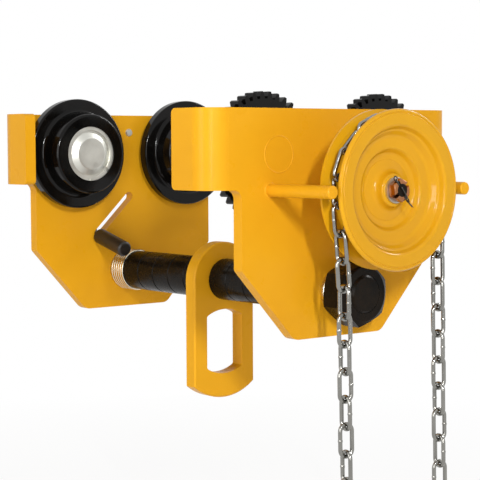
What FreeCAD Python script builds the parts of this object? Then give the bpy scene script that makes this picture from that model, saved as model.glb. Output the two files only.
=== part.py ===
import FreeCAD, Part
import math
import os
from types import SimpleNamespace

import Sketcher

# A geared beam trolley. Two folded side plates hang on four flanged wheels that roll on the lower
# flange of an I-beam, a load shaft ties them together and carries the suspension plate, and a hand
# chain turns a pinion that drives the two toothed wheels of the front plate.
# X runs along the beam, Y across it with the geared front plate at -Y, and Z is up.
# The origin is the middle of the track, level with the line where the treads touch the beam.

SIZES = (
    # folded side plates
    ("plate_thickness", 12),
    ("fold_gap", 10.5),
    ("plate_height", 216),
    ("band_height", 74.5),
    ("lower_inset", 38),
    ("bottom_width", 111),
    ("bevel_height", 68),
    ("end_reach", 55),
    ("bend_radius", 12),
    ("bottom_corner_radius", 12),
    ("side_corner_radius", 5),
    ("waist_radius", 9),
    ("end_corner_radius", 5),
    ("inner_gap", 344),
    # wheels and their axles
    ("axle_drop", 42.5),
    ("tread_taper", 1),
    ("tread_fillet", 4),
    ("tread_edge_radius", 3),
    ("flange_margin", 1),
    ("flange_height", 15.5),
    ("flange_width", 12),
    ("flange_edge_radius", 2),
    ("flange_standoff", 7),
    ("wheel_width", 35.5),
    ("wheel_lip_width", 2),
    ("wheel_lip_radius", 19),
    ("cap_seat_radius", 29.2),
    ("cap_seat_depth", 4),
    ("axle_root_radius", 17),
    ("axle_collar_radius", 15.5),
    ("axle_end_chamfer", 1),
    # ball bearings, two to a wheel
    ("bearing_bore_radius", 12.5),
    ("bearing_outer_radius", 23.5),
    ("bearing_width", 12),
    ("bearing_ring_wall", 3),
    ("bearing_shield", 1),
    # clips and caps that close the wheels
    ("axle_clip_thickness", 1.5),
    ("axle_clip_height", 3),
    ("axle_clip_mouth", 9),
    ("axle_stub", 2),
    ("cap_wall", 1.5),
    ("cap_dome_radius", 23.5),
    ("cap_flat_radius", 17),
    ("cap_rise", 5.5),
    ("cap_round", 3),
    ("cap_clip_width", 3.8),
    ("cap_clip_mouth", 3.5),
    ("cap_clip_mouth_turn", 40),
    ("cap_clip_notch", 1.8),
    ("cap_clip_notch_turn", 94),
    # spur gears
    ("gear_module", 3),
    ("wheel_teeth", 37),
    ("pinion_teeth", 17),
    ("drive_drop", 32.94),
    ("pressure_angle", 20),
    ("tooth_play", 0.5),
    ("tooth_edge_radius", 0.5),
    ("pinion_overhang", 3),
    # load shaft, its nuts and what is threaded on it
    ("load_shaft_radius", 18),
    ("load_shaft_lift", 42.3),
    ("load_shaft_chamfer", 2),
    ("load_shaft_proud", 2),
    ("nut_flats", 55),
    ("nut_height", 29),
    ("nut_turn", 21.7),
    ("nut_face_share", 0.92),
    ("nut_chamfer_angle", 30),
    ("spacer_radius", 21.5),
    ("spacer_edge", 1),
    ("zinc_washer_radius", 22.8),
    ("zinc_washer_thickness", 4),
    ("zinc_washer_edge", 0.6),
    # suspension plate
    ("suspension_thickness", 16),
    ("suspension_width", 79),
    ("suspension_head", 39),
    ("suspension_drop", 124.5),
    ("suspension_foot_rise", 14),
    ("suspension_edge", 1.5),
    ("slot_width", 46.5),
    ("slot_height", 67.6),
    ("slot_foot", 25.4),
    ("slot_end_rise", 6.5),
    ("slot_corner_radius", 3),
    # hand chain wheel: depths are counted forwards from the chain's middle plane
    ("chain_reach", 68.7),
    ("rim_height", 11.16),
    ("rim_width", 15.5),
    ("rim_front", 15.3),
    ("rim_round_width", 4),
    ("rim_round_depth", 3),
    ("groove_half_width", 8.7),
    ("groove_flare", 1.5),
    ("flare_height", 6.5),
    ("link_slot_half_width", 3),
    ("link_slot_depth", 7),
    ("dish_slope", 9.5),
    ("dish_floor", 3),
    ("dish_lip_round", 6),
    ("dish_foot_round", 5),
    ("web_radius", 36.5),
    ("web_slope", 3.5),
    ("web_floor", -3),
    ("web_lip_round", 4),
    ("web_foot_round", 3),
    ("disc_thickness", 4),
    ("rear_disc_margin", 1.5),
    ("hub_radius", 16),
    ("hub_rear", 20),
    ("hub_front", 6.5),
    ("hub_foot_radius", 24),
    ("hub_nose_radius", 14.5),
    ("hub_fillet", 9),
    ("hub_nose_round", 1.5),
    # drive shaft and its bearing
    ("drive_shaft_radius", 10),
    ("drive_thread_radius", 6),
    ("drive_shaft_tail", 5),
    ("housing_radius", 20),
    ("bush_radius", 14),
    ("bush_flange_radius", 17.5),
    ("bush_flange", 3),
    ("hub_washer_radius", 12),
    ("hub_washer_thickness", 2.5),
    ("castle_flats", 19),
    ("castle_height", 8),
    ("castle_slot_width", 3.5),
    ("castle_slot_depth", 4.5),
    ("split_pin_radius", 1.2),
    ("split_pin_head", 2),
    ("split_pin_leg", 9),
    ("split_pin_fold", 17),
    ("split_pin_knuckle", 1.4),
    ("split_pin_lean", 28),
    ("split_pin_turn", -35),
    # chain guide rods
    ("rod_radius", 6),
    ("rod_gap", 4),
    ("rod_length", 85),
    ("rod_edge", 1),
    # hand chain
    ("chain_wire_radius", 2),
    ("chain_pitch", 25),
    ("chain_link_width", 16.8),
    ("chain_play", 0.2),
    ("chain_lean", 1),
    ("chain_swing", 5),
    ("chain_twist", 0.9),
    # captive pin in the slanted slot of the plain plate, and a rivet
    ("latch_slot_width", 9.6),
    ("latch_slot_low_x", -38.5),
    ("latch_slot_low_z", 83.9),
    ("latch_slot_high_x", 4),
    ("latch_slot_high_z", 124.5),
    ("latch_neck_radius", 2.9),
    ("latch_head_radius", 8),
    ("latch_head_thickness", 4),
    ("latch_stand_off", 2.8),
    ("latch_droop", 14.5),
    ("grip_radius", 8.5),
    ("grip_length", 53),
    ("grip_end_wall", 12),
    ("grip_round", 3),
    ("rivet_x", 4.6),
    ("rivet_z", 196.6),
    ("rivet_radius", 3),
    ("rivet_head_radius", 4.5),
    ("rivet_crown_radius", 3.5),
    ("rivet_head_height", 1.8),
    # clearances
    ("free_clearance", 0.3),
    ("running_clearance", 0.1),
    ("seat_clearance", 0.03),
    ("overrun", 5),
)

# counts of like pieces
BEARINGS_PER_WHEEL = 2
BALLS_PER_BEARING = 9
SPACERS_PER_SIDE = 5
INNER_ZINC_WASHERS = 6
OUTER_ZINC_WASHERS = 2
CASTLE_SLOTS = 3
LINKS_PER_TURN = 16
HALF_TURN_LINKS = LINKS_PER_TURN // 2
LINKS_PER_FALL = 11
SWUNG_LINKS = 3

# the points of a tooth flank between base circle and tip, and a gap's depth below the pitch circle
# in modules
FLANK_SHARES = (0, 0.3, 0.65, 1)
GAP_DEPTH_SHARE = 1.25

FRONT = -1
REAR = 1
LEFT = -1
RIGHT = 1
FULL_TURN = 360
SAME_PLACE = 0.01
HALVINGS = 50

doc = FreeCAD.newDocument("geared_beam_trolley")
sheet = doc.addObject("Spreadsheet::Sheet", "sizes")
for row, (alias, number) in enumerate(SIZES, start=1):
    sheet.set(f"A{row}", str(number))
    sheet.setAlias(f"A{row}", alias)
doc.recompute()


class Length:
    """A value read from the sheet or worked out from it, with the expression that gives it."""

    def __init__(self, value, text):
        self.value = value
        self.text = text

    def __add__(self, other):
        return combine(self, "+", other, self.value + value_of(other))

    def __radd__(self, other):
        return combine(other, "+", self, value_of(other) + self.value)

    def __sub__(self, other):
        return combine(self, "-", other, self.value - value_of(other))

    def __rsub__(self, other):
        return combine(other, "-", self, value_of(other) - self.value)

    def __mul__(self, other):
        return combine(self, "*", other, self.value * value_of(other))

    def __rmul__(self, other):
        return combine(other, "*", self, value_of(other) * self.value)

    def __truediv__(self, other):
        return combine(self, "/", other, self.value / value_of(other))

    def __rtruediv__(self, other):
        return combine(other, "/", self, value_of(other) / self.value)

    def __neg__(self):
        return -1 * self


def value_of(amount):
    return amount.value if isinstance(amount, Length) else amount


def text_of(amount):
    return amount.text if isinstance(amount, Length) else f"({amount})"


def combine(first, sign, second, value):
    return Length(value, f"({text_of(first)} {sign} {text_of(second)})")


def root(amount):
    return Length(math.sqrt(amount.value), f"sqrt({amount.text})")


def smaller(first, second):
    return Length(min(first.value, second.value), f"min({first.text}; {second.text})")


def cosine(degrees):
    return Length(math.cos(math.radians(value_of(degrees))), f"cos({text_of(degrees)})")


def sine(degrees):
    return Length(math.sin(math.radians(value_of(degrees))), f"sin({text_of(degrees)})")


def tangent(degrees):
    return Length(math.tan(math.radians(value_of(degrees))), f"tan({text_of(degrees)})")


def arc_cosine(ratio):
    return Length(math.degrees(math.acos(ratio.value)), f"(acos({ratio.text}) / 1 deg)")


def arc_sine(ratio):
    return Length(math.degrees(math.asin(ratio.value)), f"(asin({ratio.text}) / 1 deg)")


size = SimpleNamespace(**{alias: Length(float(sheet.get(alias)), f"sizes.{alias}") for alias, _ in SIZES})

# Gear train: the pinion sits midway between the two toothed wheels, below the line of their axles
wheel_pitch_radius = size.gear_module * size.wheel_teeth / 2
pinion_pitch_radius = size.gear_module * size.pinion_teeth / 2
gear_centres = wheel_pitch_radius + pinion_pitch_radius
axle_x = root(gear_centres * gear_centres - size.drive_drop * size.drive_drop)

# The plain wheels' flanges stand a little above the teeth, and all four treads lie one flange height lower
flange_radius = wheel_pitch_radius + size.gear_module + size.flange_margin
tread_radius = flange_radius - size.flange_height

# Heights: the axles stand one tread radius above the track
inner_face = size.inner_gap / 2
outer_face = inner_face + size.plate_thickness
axle_z = tread_radius
plate_top = axle_z + size.axle_drop
plate_bottom = plate_top - size.plate_height
band_bottom = plate_top - size.band_height
load_shaft_z = plate_bottom + size.load_shaft_lift
drive_z = axle_z - size.drive_drop
chain_y = -(outer_face + size.chain_reach)

# Distances from a plate's inner face towards the beam
flange_end = size.flange_standoff + size.flange_width
wheel_end = size.flange_standoff + size.wheel_width
bearing_start = size.flange_standoff + size.wheel_lip_width
bearing_end = bearing_start + BEARINGS_PER_WHEEL * size.bearing_width
cap_seat = wheel_end - size.cap_seat_depth

nodes = []


def inward(side, depth):
    """The Y of a point that lies so deep inside the inner face of the front or rear plate."""
    return side * (inner_face - depth)


def forward(offset):
    """The Y of a point so far in front of the chain's middle plane."""
    return chain_y - offset


def new_body(label):
    body = doc.addObject("PartDesign::Body", label)
    body.Label = label
    return body


def keep(piece):
    """Puts a finished piece on the list of those that are written out."""
    nodes.append(piece)
    return piece


def place(piece, x=0, y=0, z=0, turn=0, axis=(0, 1, 0)):
    """Binds a piece's place to the sheet; turn is in degrees about an axis through that place."""
    rotation = FreeCAD.Rotation(FreeCAD.Vector(*axis), turn)
    piece.Placement = FreeCAD.Placement(FreeCAD.Vector(), rotation)
    for letter, amount in zip("xyz", (x, y, z)):
        piece.setExpression(f"Placement.Base.{letter}", text_of(amount))


def new_sketch(body, plane="XZ_Plane"):
    sketch = body.newObject("Sketcher::SketchObject", f"{body.Name}_sketch")
    support = next(feature for feature in body.Origin.OriginFeatures if feature.Role == plane)
    sketch.AttachmentSupport = (support, [""])
    sketch.MapMode = "FlatFace"
    return sketch


def fix_point(sketch, curve, end, across, up):
    """Ties a point of a sketch to its two distances from the sketch's origin."""
    for kind, amount, axis in (("DistanceX", across, -2), ("DistanceY", up, -1)):
        if isinstance(amount, Length):
            number = sketch.addConstraint(Sketcher.Constraint(kind, -1, 1, curve, end, amount.value))
            sketch.setExpression(f"Constraints[{number}]", amount.text)
        else:
            sketch.addConstraint(Sketcher.Constraint("PointOnObject", curve, end, axis))


def draw_outline(sketch, points, arcs=None):
    """Draws a closed loop through the points. arcs gives the radius of each round edge, by the number
    of the point that it starts from: positive where it bulges to the right of its direction."""
    arcs = arcs or {}
    spots = [FreeCAD.Vector(value_of(across), value_of(up), 0) for across, up in points]
    ends = []
    for number, start in enumerate(spots):
        stop = spots[(number + 1) % len(spots)]
        if number in arcs:
            curve = arc_through(start, stop, value_of(arcs[number]))
        else:
            curve = Part.LineSegment(start, stop)
        sketch.addGeometry(curve, False)
        first, second = (sketch.getPoint(number, end).distanceToPoint(start) for end in (1, 2))
        ends.append((2, 1) if first > second else (1, 2))
    for number in range(len(spots)):
        after = (number + 1) % len(spots)
        sketch.addConstraint(Sketcher.Constraint("Coincident", number, ends[number][1], after, ends[after][0]))
    for number, (across, up) in enumerate(points):
        fix_point(sketch, number, ends[number][0], across, up)
    for number, radius in arcs.items():
        bound = sketch.addConstraint(Sketcher.Constraint("Radius", number, abs(value_of(radius))))
        sketch.setExpression(f"Constraints[{bound}]", f"abs({text_of(radius)})")


def arc_through(start, stop, radius):
    """The shorter arc between two points, bulging to the right of their direction if radius is positive."""
    chord = stop - start
    half = chord.Length / 2
    sagitta = abs(radius) - math.sqrt(max(radius * radius - half * half, 0))
    right = FreeCAD.Vector(chord.y, -chord.x, 0).normalize()
    crown = start + chord / 2 + right * math.copysign(sagitta, radius)
    return Part.Arc(start, crown, stop)


def draw_circles(sketch, circles):
    for number, (across, up, radius) in enumerate(circles):
        centre = FreeCAD.Vector(value_of(across), value_of(up), 0)
        sketch.addGeometry(Part.Circle(centre, FreeCAD.Vector(0, 0, 1), value_of(radius)), False)
        fix_point(sketch, number, 3, across, up)
        bound = sketch.addConstraint(Sketcher.Constraint("Radius", number, value_of(radius)))
        sketch.setExpression(f"Constraints[{bound}]", text_of(radius))


def pad(body, sketch, thickness, reverse=True):
    """Thickens a sketch; one on the XZ plane goes towards +Y."""
    feature = body.newObject("PartDesign::Pad", f"{body.Name}_pad")
    feature.Profile = sketch
    feature.setExpression("Length", text_of(thickness))
    feature.Reversed = reverse
    return feature


def pocket_through(body, sketch):
    """Cuts a sketch on the XZ plane right through the body, both ways."""
    feature = body.newObject("PartDesign::Pocket", f"{body.Name}_pocket")
    feature.Profile = sketch
    feature.Type = "ThroughAll"
    feature.SideType = "Symmetric"
    return feature


def revolve(body, points, arcs=None, cut=False):
    """Turns an outline of (radius, Y) points about the body's Y axis."""
    sketch = new_sketch(body, "XY_Plane")
    draw_outline(sketch, points, arcs)
    kind = "Groove" if cut else "Revolution"
    feature = body.newObject(f"PartDesign::{kind}", f"{body.Name}_turning")
    feature.Profile = sketch
    feature.ReferenceAxis = (sketch, ["V_Axis"])
    feature.Angle = FULL_TURN
    return feature


def turned(label, points, arcs=None, x=0, z=0):
    """A turned piece whose axis runs along Y at the given X and Z."""
    body = new_body(label)
    revolve(body, points, arcs)
    place(body, x=x, z=z)
    return keep(body)


def ring_points(inner, outer, start, stop):
    return [(inner, start), (outer, start), (outer, stop), (inner, stop)]


def repeat_along_y(body, feature, step, count, forwards=True):
    """Repeats a feature at a steady step along Y."""
    pattern = body.newObject("PartDesign::LinearPattern", f"{body.Name}_row")
    pattern.Originals = [feature]
    axis = next(item for item in body.Origin.OriginFeatures if item.Role == "Y_Axis")
    pattern.Direction = (axis, [""])
    pattern.Reversed = not forwards
    pattern.Occurrences = count
    pattern.setExpression("Length", text_of(step * (count - 1)))
    body.Tip = pattern
    return pattern


def round_edges(body, base, radius, wanted, kind="Fillet"):
    """Rounds or bevels each edge of a feature whose middle point and direction pass the test."""
    doc.recompute()
    names = []
    for number, edge in enumerate(base.Shape.Edges, start=1):
        first, last = edge.ParameterRange
        middle = edge.valueAt((first + last) / 2)
        direction = edge.tangentAt((first + last) / 2)
        if wanted(middle, direction):
            names.append(f"Edge{number}")
    feature = body.newObject(f"PartDesign::{kind}", f"{body.Name}_edges")
    feature.Base = (base, names)
    feature.setExpression("Radius" if kind == "Fillet" else "Size", text_of(radius))
    return feature


def near(first, second):
    return abs(value_of(first) - value_of(second)) < SAME_PLACE


# Side plates


def side_plate(label, side, holes):
    """One folded plate: a bevelled panel under a wide band whose ends are bent in round the wheels.
    It is drawn with its outer face on Y = 0 and stood in place facing outwards."""
    body = new_body(label)
    thickness = size.plate_thickness
    half_length = axle_x + flange_radius + size.fold_gap + thickness
    half_lower = half_length - size.lower_inset
    half_bottom = size.bottom_width / 2
    bevel_top = plate_bottom + size.bevel_height
    outer_bend = size.bend_radius + thickness

    panel = new_sketch(body)
    draw_outline(panel, [
        (-half_lower, plate_top), (-half_lower, bevel_top), (-half_bottom, plate_bottom),
        (half_bottom, plate_bottom), (half_lower, bevel_top), (half_lower, plate_top)])
    pad(body, panel, thickness)

    band = new_sketch(body, "XY_Plane")
    band.setExpression("AttachmentOffset.Base.z", band_bottom.text)
    draw_outline(band, [
        (-half_length, 0), (half_length, 0), (half_length, size.end_reach),
        (half_length - thickness, size.end_reach), (half_length - thickness, thickness),
        (thickness - half_length, thickness), (thickness - half_length, size.end_reach),
        (-half_length, size.end_reach)])
    folded = pad(body, band, size.band_height, reverse=False)

    def upright(middle, direction):
        return abs(direction.z) > abs(direction.x) + abs(direction.y)

    def across(middle, direction):
        return abs(direction.y) > abs(direction.x) + abs(direction.z)

    outer = round_edges(body, folded, outer_bend,
                        lambda m, d: upright(m, d) and near(m.y, 0) and near(abs(m.x), half_length))
    inner = round_edges(body, outer, size.bend_radius,
                        lambda m, d: upright(m, d) and near(m.y, thickness)
                        and near(abs(m.x), half_length - thickness))
    waist = round_edges(body, inner, smaller(size.waist_radius, size.lower_inset - outer_bend),
                        lambda m, d: across(m, d) and near(abs(m.x), half_lower) and near(m.z, band_bottom))
    shoulder = round_edges(body, waist, size.side_corner_radius,
                           lambda m, d: across(m, d) and near(abs(m.x), half_lower) and near(m.z, bevel_top))
    foot = round_edges(body, shoulder, size.bottom_corner_radius,
                       lambda m, d: across(m, d) and near(abs(m.x), half_bottom) and near(m.z, plate_bottom))
    round_edges(body, foot, size.end_corner_radius,
                lambda m, d: near(m.y, size.end_reach) and abs(d.x) > abs(d.y) + abs(d.z))

    drilled = new_sketch(body)
    draw_circles(drilled, holes)
    pocket_through(body, drilled)
    facing_out = 0 if side == FRONT else 180
    place(body, y=side * outer_face, turn=facing_out, axis=(0, 0, 1))
    return keep(body)


axle_holes = [(hand * axle_x, axle_z, size.axle_root_radius + size.seat_clearance) for hand in (LEFT, RIGHT)]
shaft_hole = (0, load_shaft_z, size.load_shaft_radius + size.free_clearance)
bush_hole = (0, drive_z, size.bush_radius + size.seat_clearance)
side_plate("geared_side_plate", FRONT, axle_holes + [shaft_hole, bush_hole])

# The plain plate is turned to face the other way, so the X of its own holes is turned with it
latch_low = (size.latch_slot_low_x, plate_bottom + size.latch_slot_low_z)
latch_high = (size.latch_slot_high_x, plate_bottom + size.latch_slot_high_z)
rivet_z = plate_bottom + size.rivet_z
rivet_hole = (-size.rivet_x, rivet_z, size.rivet_radius + size.seat_clearance)
slot_ends = [(-across, up, size.latch_slot_width / 2) for across, up in (latch_low, latch_high)]
plain_plate = side_plate("plain_side_plate", REAR, axle_holes + [shaft_hole, rivet_hole] + slot_ends)

slot_run_x = latch_high[0] - latch_low[0]
slot_run_z = latch_high[1] - latch_low[1]
slot_run = root(slot_run_x * slot_run_x + slot_run_z * slot_run_z)
slot_side_x = slot_run_z / slot_run * size.latch_slot_width / 2
slot_side_z = slot_run_x / slot_run * size.latch_slot_width / 2
slot_sketch = new_sketch(plain_plate)
draw_outline(slot_sketch, [
    (-(latch_low[0] + slot_side_x), latch_low[1] - slot_side_z),
    (-(latch_high[0] + slot_side_x), latch_high[1] - slot_side_z),
    (-(latch_high[0] - slot_side_x), latch_high[1] + slot_side_z),
    (-(latch_low[0] - slot_side_x), latch_low[1] + slot_side_z)])
pocket_through(plain_plate, slot_sketch)


# Wheel axles: stubs let into the plates flush with their outer faces


def wheel_axle(label, side, hand):
    bore = size.bearing_bore_radius
    end = bearing_end + size.axle_clip_thickness + size.axle_stub
    points = [
        (0, inward(side, -size.plate_thickness)),
        (size.axle_root_radius, inward(side, -size.plate_thickness)),
        (size.axle_root_radius, side * inner_face),
        (size.axle_collar_radius, side * inner_face),
        (size.axle_collar_radius, inward(side, bearing_start)),
        (bore, inward(side, bearing_start)),
        (bore, inward(side, end - size.axle_end_chamfer)),
        (bore - size.axle_end_chamfer, inward(side, end)),
        (0, inward(side, end))]
    return turned(label, points, x=hand * axle_x, z=axle_z)


# Wheels


def wheel_outline(side, rim_radius, edge_radius):
    """A wheel's section: flange next to the plate, tapered tread towards the beam, and a bore that is
    stepped for the bearings and the cap."""
    rim_start = inward(side, size.flange_standoff)
    rim_stop = inward(side, flange_end)
    tread_root = tread_radius + size.tread_taper
    tread_end = tread_radius - size.tread_taper
    bore = size.bearing_outer_radius + size.seat_clearance
    points = [
        (size.wheel_lip_radius, rim_start),
        (rim_radius - edge_radius, rim_start),
        (rim_radius, rim_start - side * edge_radius),
        (rim_radius, rim_stop + side * edge_radius),
        (rim_radius - edge_radius, rim_stop),
        (tread_root + size.tread_fillet, rim_stop),
        (tread_root, rim_stop - side * size.tread_fillet),
        (tread_end, inward(side, wheel_end - size.tread_edge_radius)),
        (tread_end - size.tread_edge_radius, inward(side, wheel_end)),
        (size.cap_seat_radius, inward(side, wheel_end)),
        (size.cap_seat_radius, inward(side, cap_seat)),
        (bore, inward(side, cap_seat)),
        (bore, inward(side, bearing_start)),
        (size.wheel_lip_radius, inward(side, bearing_start))]
    hand = -side
    arcs = {1: hand * edge_radius, 3: hand * edge_radius, 5: -hand * size.tread_fillet,
            7: hand * size.tread_edge_radius}
    return points, arcs


def plain_wheel(label, hand):
    points, arcs = wheel_outline(REAR, flange_radius, size.flange_edge_radius)
    return turned(label, points, arcs, x=hand * axle_x, z=axle_z)


def involute(angle):
    """tan a - a, in degrees, for an angle in degrees."""
    return tangent(angle) * 180 / math.pi - angle


def tooth_gap(teeth):
    """The outline of one gap between two teeth, centred on the upright: straight down to the root below
    the base circle and along the involute above it, widened by the play between the teeth."""
    pitch = size.gear_module * teeth / 2
    base = pitch * cosine(size.pressure_angle)
    tip = pitch + size.gear_module
    gap_root = pitch - size.gear_module * GAP_DEPTH_SHARE
    play_per_flank = size.tooth_play / 4
    play = play_per_flank / pitch * 180 / math.pi
    flank = []
    for share in FLANK_SHARES:
        radius = base + (tip - base) * share
        rise = involute(arc_cosine(base / radius)) - involute(size.pressure_angle)
        flank.append((radius, 90 / teeth + play + rise))
    beyond = tip + size.overrun
    flank.append((beyond, flank[-1][1]))
    flank.insert(0, (gap_root, flank[0][1]))
    right = [(radius * sine(angle), radius * cosine(angle)) for radius, angle in flank]
    left = [(-across, up) for across, up in reversed(right)]
    return right + left


def cut_teeth(body, teeth, count):
    gap_sketch = new_sketch(body)
    draw_outline(gap_sketch, tooth_gap(teeth))
    gap = pocket_through(body, gap_sketch)
    pattern = body.newObject("PartDesign::PolarPattern", f"{body.Name}_teeth")
    pattern.Originals = [gap]
    pattern.Axis = (gap_sketch, ["N_Axis"])
    pattern.Angle = FULL_TURN
    pattern.Occurrences = count
    body.Tip = pattern


# The pinion has a gap straight up. Seen from the front, the right wheel stands at mesh_angle from it,
# and turns a gap towards the pinion tooth that is nearest to the line of centres.
mesh_angle = arc_sine(size.drive_drop / gear_centres)
pinion_step = FULL_TURN / size.pinion_teeth.value
tooth_offset = ((90 + pinion_step / 2 - mesh_angle.value) + pinion_step / 2) % pinion_step - pinion_step / 2
wheel_gap_angle = mesh_angle.value + 180 - tooth_offset * size.pinion_teeth.value / size.wheel_teeth.value


def geared_wheel(label, hand):
    tip = wheel_pitch_radius + size.gear_module
    body = new_body(label)
    points, arcs = wheel_outline(FRONT, tip, size.tooth_edge_radius)
    revolve(body, points, arcs)
    cut_teeth(body, size.wheel_teeth, round(size.wheel_teeth.value))
    gap_angle = wheel_gap_angle if hand == RIGHT else 180 - wheel_gap_angle
    place(body, x=hand * axle_x, z=axle_z, turn=90 - gap_angle)
    return keep(body)


# Bearings: shielded outer rings turn with the wheel, inner rings and balls stay on the axle


race = size.bearing_outer_radius - size.bearing_ring_wall
track = size.bearing_bore_radius + size.bearing_ring_wall


def bearing_rings(label, side, hand, outer):
    body = new_body(label)
    start = inward(side, bearing_start)
    stop = inward(side, bearing_start + size.bearing_width)
    if outer:
        lip = track + size.free_clearance
        shield = -side * size.bearing_shield
        points = [
            (lip, start), (size.bearing_outer_radius, start), (size.bearing_outer_radius, stop),
            (lip, stop), (lip, stop - shield), (race, stop - shield), (race, start + shield),
            (lip, start + shield)]
    else:
        points = ring_points(size.bearing_bore_radius + size.seat_clearance, track, start, stop)
    ring = revolve(body, points)
    repeat_along_y(body, ring, size.bearing_width, BEARINGS_PER_WHEEL, forwards=side == FRONT)
    place(body, x=hand * axle_x, z=axle_z)
    return keep(body)


def bearing_balls(label, side):
    """The balls of both wheels on one plate, a little free between their rings."""
    radius = (race - track) / 2 - size.running_clearance
    circle = (race + track) / 2
    balls = []
    for hand in (LEFT, RIGHT):
        for row in range(BEARINGS_PER_WHEEL):
            y = inward(side, bearing_start + (row + 1 / 2) * size.bearing_width)
            for number in range(BALLS_PER_BEARING):
                angle = FULL_TURN / BALLS_PER_BEARING * number
                middle = (hand * axle_x + circle * cosine(angle), y, axle_z + circle * sine(angle))
                balls.append(Part.makeSphere(radius.value, FreeCAD.Vector(*(part.value for part in middle))))
    group = doc.addObject("Part::Feature", label)
    group.Label = label
    group.Shape = Part.makeCompound(balls)
    return keep(group)


def spoke(start, stop, width, turn):
    """The corners of a straight bar that runs outwards, turned down from the level by an angle."""
    corners = [(start, -width / 2), (stop, -width / 2), (stop, width / 2), (start, width / 2)]
    return [(across * cosine(turn) + up * sine(turn), up * cosine(turn) - across * sine(turn))
            for across, up in corners]


def clip_ring(label, points, openings, x, z):
    """A flat spring ring, cut through where its openings are."""
    body = new_body(label)
    revolve(body, points)
    for corners in openings:
        gap = new_sketch(body)
        draw_outline(gap, corners)
        pocket_through(body, gap)
    place(body, x=x, z=z)
    return body


def shaft_clip(label, bore, start, stop, x, z):
    """A clip in the groove of an axle or shaft, open downwards."""
    outer = bore + size.axle_clip_height
    mouth = spoke(0, outer + size.overrun, size.axle_clip_mouth, 90)
    return clip_ring(label, ring_points(bore, outer, start, stop), [mouth], x, z)


def axle_clip(label, side, hand):
    start = inward(side, bearing_end + size.seat_clearance)
    stop = inward(side, bearing_end + size.axle_clip_thickness)
    bore = size.bearing_bore_radius + size.seat_clearance
    return shaft_clip(label, bore, start, stop, hand * axle_x, axle_z)


def wheel_cap(label, side, hand):
    """A pressed cap: a flat flange on the wheel's seat, and a dome with a flat middle and a soft edge."""
    body = new_body(label)
    wall = size.cap_wall
    rim = size.cap_seat_radius - size.seat_clearance
    top = cap_seat + size.cap_rise
    points = [
        (0, inward(side, top)),
        (size.cap_flat_radius, inward(side, top)),
        (size.cap_dome_radius, inward(side, cap_seat + wall)),
        (rim, inward(side, cap_seat + wall)),
        (rim, inward(side, cap_seat)),
        (size.cap_dome_radius - wall, inward(side, cap_seat)),
        (size.cap_flat_radius - wall, inward(side, top - wall)),
        (0, inward(side, top - wall))]
    round_edges(body, revolve(body, points), size.cap_round,
                lambda m, d: near(math.hypot(m.x, m.z), size.cap_flat_radius) and near(m.y, inward(side, top)))
    place(body, x=hand * axle_x, z=axle_z)
    return keep(body)


def cap_clip(label, side, hand):
    start = inward(side, cap_seat + size.cap_wall)
    stop = inward(side, cap_seat + size.cap_wall + size.axle_clip_thickness)
    outer = size.cap_seat_radius - size.seat_clearance
    inner = outer - size.cap_clip_width
    beyond = outer + size.overrun
    mouth = spoke(0, beyond, size.cap_clip_mouth, size.cap_clip_mouth_turn)
    notch = spoke(outer - size.cap_clip_notch, beyond, size.cap_clip_mouth, size.cap_clip_notch_turn)
    clip = clip_ring(label, ring_points(inner, outer, start, stop), [mouth, notch], hand * axle_x, axle_z)
    return keep(clip)


axle_clips = []
for side, kind, make_wheel in ((FRONT, "geared", geared_wheel), (REAR, "plain", plain_wheel)):
    for hand, place_name in ((LEFT, "left"), (RIGHT, "right")):
        name = f"{kind}_{place_name}"
        make_wheel(f"{kind}_wheel_{place_name}", hand)
        wheel_axle(f"wheel_axle_{name}", side, hand)
        bearing_rings(f"bearing_outer_rings_{name}", side, hand, outer=True)
        bearing_rings(f"bearing_inner_rings_{name}", side, hand, outer=False)
        wheel_cap(f"wheel_cap_{name}", side, hand)
        cap_clip(f"cap_clip_{name}", side, hand)
        axle_clips.append(axle_clip(f"axle_clip_{name}", side, hand))
    bearing_balls(f"bearing_balls_{kind}", side)

clip_group = doc.addObject("Part::Compound", "axle_clips")
clip_group.Label = "axle_clips"
clip_group.Links = axle_clips
keep(clip_group)


# Load shaft, with spacers and washers that set the plates' distance, and a nut at each end


outer_stack = OUTER_ZINC_WASHERS * size.zinc_washer_thickness
shaft_end = outer_face + outer_stack + size.nut_height + size.load_shaft_proud
chamfer = size.load_shaft_chamfer
turned("load_shaft", [
    (0, -shaft_end), (size.load_shaft_radius - chamfer, -shaft_end),
    (size.load_shaft_radius, chamfer - shaft_end), (size.load_shaft_radius, shaft_end - chamfer),
    (size.load_shaft_radius - chamfer, shaft_end), (0, shaft_end)], z=load_shaft_z)

threaded_bore = size.load_shaft_radius + size.free_clearance


def hexagon(flats, turn):
    corner = flats / 2 / cosine(30)
    return [(corner * cosine(turn + 60 * number), corner * sine(turn + 60 * number)) for number in range(6)]


def hex_nut(body, flats, height, start, turn, bore):
    """A nut that grows towards +Y from start, chamfered on both faces."""
    rim = flats / 2 / cosine(30) + size.overrun
    face_radius = flats / 2 * size.nut_face_share
    slope = (rim - face_radius) * tangent(size.nut_chamfer_angle)
    outline = new_sketch(body)
    outline.setExpression("AttachmentOffset.Base.z", text_of(-start))
    draw_outline(outline, hexagon(flats, turn))
    pad(body, outline, height)
    revolve(body, [(face_radius, start), (rim, start), (rim, start + slope)], cut=True)
    far = start + height
    revolve(body, [(face_radius, far), (rim, far), (rim, far - slope)], cut=True)
    hole = new_sketch(body)
    draw_circles(hole, [(0, 0, bore)])
    pocket_through(body, hole)


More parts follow.
